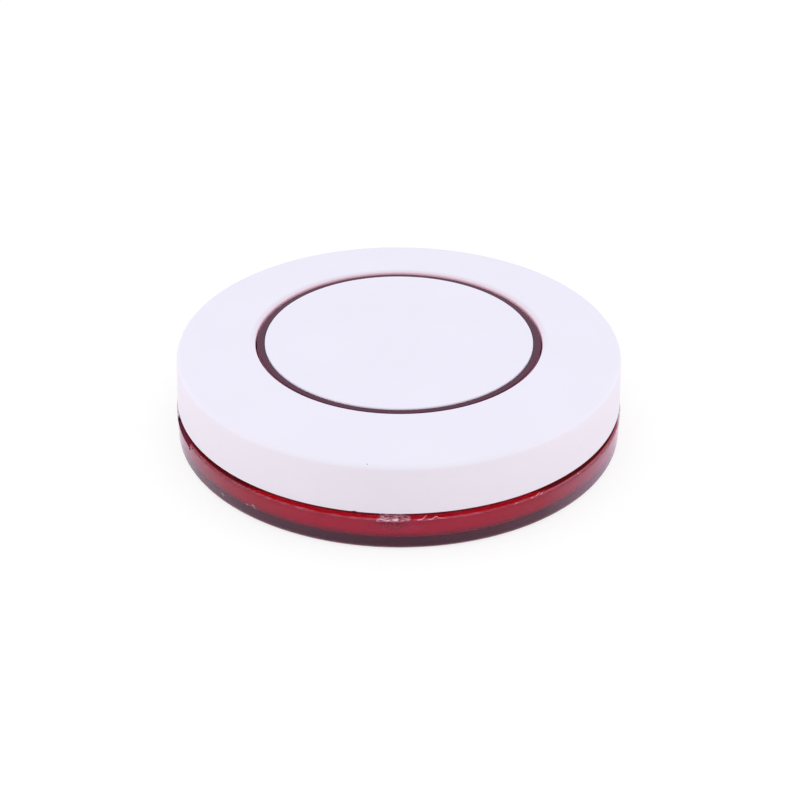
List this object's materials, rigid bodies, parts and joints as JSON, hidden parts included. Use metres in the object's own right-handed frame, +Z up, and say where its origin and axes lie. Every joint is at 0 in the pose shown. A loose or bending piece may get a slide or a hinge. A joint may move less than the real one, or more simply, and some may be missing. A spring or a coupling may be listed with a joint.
{
  "type": "one-button remote control",
  "caption": "Round puck-shaped radio remote: a large sprung push button, ringed in dark red, sits in a white domed cover on a clear red base that rests flat on a counter.",
  "frame": {"origin": "middle of the base's underside, on the surface that it stands on", "axes": "+Z up through the button, -Y towards the front of the picture, +X to its right"},
  "size_m": [0.06, 0.06, 0.0148],
  "materials": {
    "white_cover": "fine moulded matte",
    "white_button": "fine moulded matte",
    "clear_red": "clear, polished",
    "clear_red_ring": "clear, polished",
    "board": "solder mask over glass fibre",
    "zinc_screw": "zinc plated",
    "switch_black": "moulded nylon",
    "switch_steel": "pressed",
    "chip_black": "moulded epoxy",
    "tinned": "tinned",
    "can_nickel": "nickel plated",
    "copper": "bare copper",
    "resistor_black": "glazed",
    "capacitor_tan": "fired",
    "lamp_clear": "moulded reflector cup",
    "cell_jacket": "plain printed film over a steel can",
    "bronze": "spring bronze",
    "plated_steel": "nickel plated"
  },
  "bodies": {
    "case": {"base_shell": "clear_red", "top_cover": "white_cover", "circuit_board": "board", "board_screws": "zinc_screw", "switch_body": "switch_black", "switch_plate": "switch_steel", "switch_legs": "switch_steel", "switch_dome": "switch_steel", "encoder_chip": "chip_black", "rf_transistor": "chip_black", "component_leads": "tinned", "saw_resonator": "can_nickel", "tuning_coil": "copper", "chip_resistors": "resistor_black", "chip_capacitors": "capacitor_tan", "chip_terminals": "tinned", "indicator_leds": "lamp_clear", "loop_antenna": "copper", "battery_cell": "cell_jacket", "positive_contact": "bronze", "negative_contact": "plated_steel", "contact_spring": "plated_steel"},
    "button": {"button_carrier": "clear_red_ring", "button_disc": "white_button"},
    "stem": {"switch_stem": "switch_black"}
  },
  "joints": [
    {"name": "button_press", "type": "slide", "parent": "case", "child": "button", "axis": [0, 0, -1], "range_m": [0, 0.0004], "stiffness_N_per_m": 4000},
    {"name": "switch_press", "type": "slide", "parent": "case", "child": "stem", "axis": [0, 0, -1], "range_m": [0, 0.0003], "deforming": ["switch_dome"]}
  ],
  "couplings": [
    {"joint": "switch_press", "follows": "button_press", "ratio": 0.75}
  ]
}
